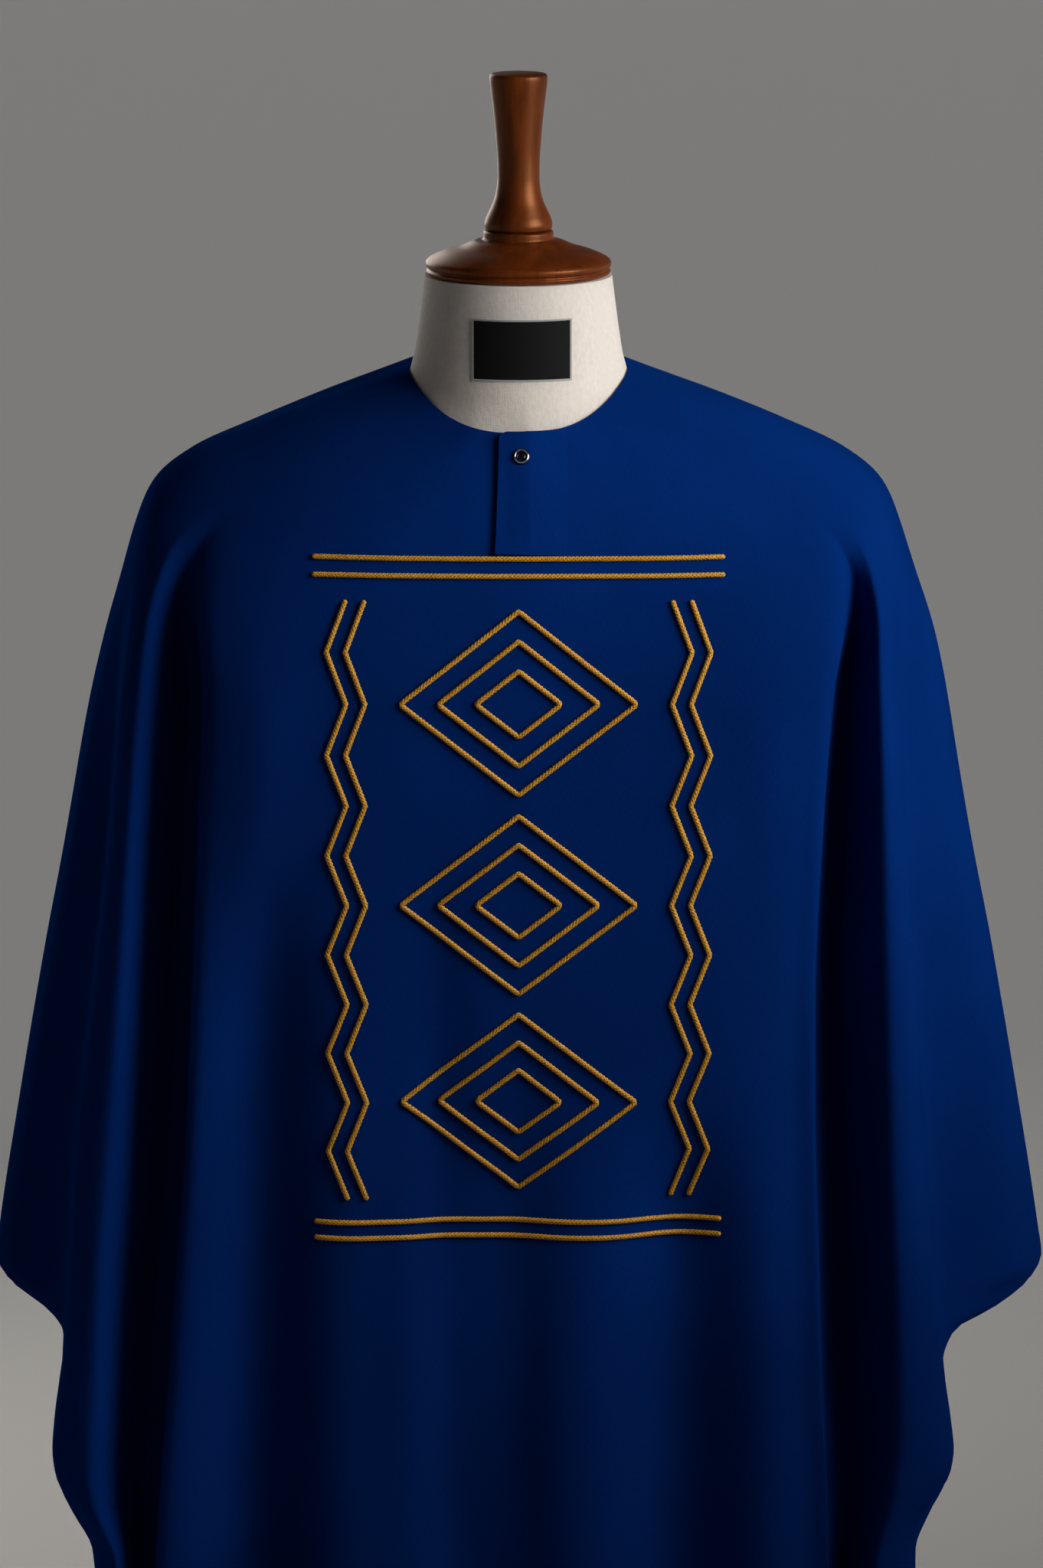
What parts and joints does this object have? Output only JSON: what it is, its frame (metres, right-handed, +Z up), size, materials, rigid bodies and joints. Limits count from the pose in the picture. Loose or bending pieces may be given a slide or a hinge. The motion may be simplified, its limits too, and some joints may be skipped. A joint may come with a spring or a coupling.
{
  "type": "grand boubou robe on a dress form",
  "caption": "Wide ankle-length grand boubou robe with a snap placket and corded geometric front embroidery, worn on a limbless dress form with a turned handle, pole and round base.",
  "frame": {"origin": "centre of the stand base's underside", "axes": "+Z up, -Y to the robe's front, +X to the wearer's left"},
  "size_m": [0.7195, 0.35, 1.694],
  "materials": {
    "robe_cloth": "royal blue matt-satin suiting cloth",
    "gold_cord": "twisted mustard-gold couching cord",
    "form_linen": "natural cream linen over padding",
    "label_black": "plain black woven patch",
    "turned_wood": "dark red-brown stain, satin varnish",
    "snap_metal": "polished",
    "black_enamel": "gloss black enamel"
  },
  "bodies": {
    "root": {"front": "robe_cloth", "back": "robe_cloth", "sleeve_panel_left": "robe_cloth", "sleeve_panel_right": "robe_cloth", "placket": "robe_cloth", "cord_bar_1": "gold_cord", "cord_bar_2": "gold_cord", "cord_bar_3": "gold_cord", "cord_bar_4": "gold_cord", "cord_lozenge_1_1": "gold_cord", "cord_lozenge_1_2": "gold_cord", "cord_lozenge_1_3": "gold_cord", "cord_lozenge_2_1": "gold_cord", "cord_lozenge_2_2": "gold_cord", "cord_lozenge_2_3": "gold_cord", "cord_lozenge_3_1": "gold_cord", "cord_lozenge_3_2": "gold_cord", "cord_lozenge_3_3": "gold_cord", "cord_zigzag_left_1": "gold_cord", "cord_zigzag_left_2": "gold_cord", "cord_zigzag_right_1": "gold_cord", "cord_zigzag_right_2": "gold_cord", "dress_form": "form_linen", "form_label": "label_black", "neck_cap": "turned_wood", "finial_handle": "turned_wood", "stand_pole": "turned_wood", "stand_base": "turned_wood", "snap_ring": "snap_metal", "snap_cap": "black_enamel"}
  },
  "joints": []
}
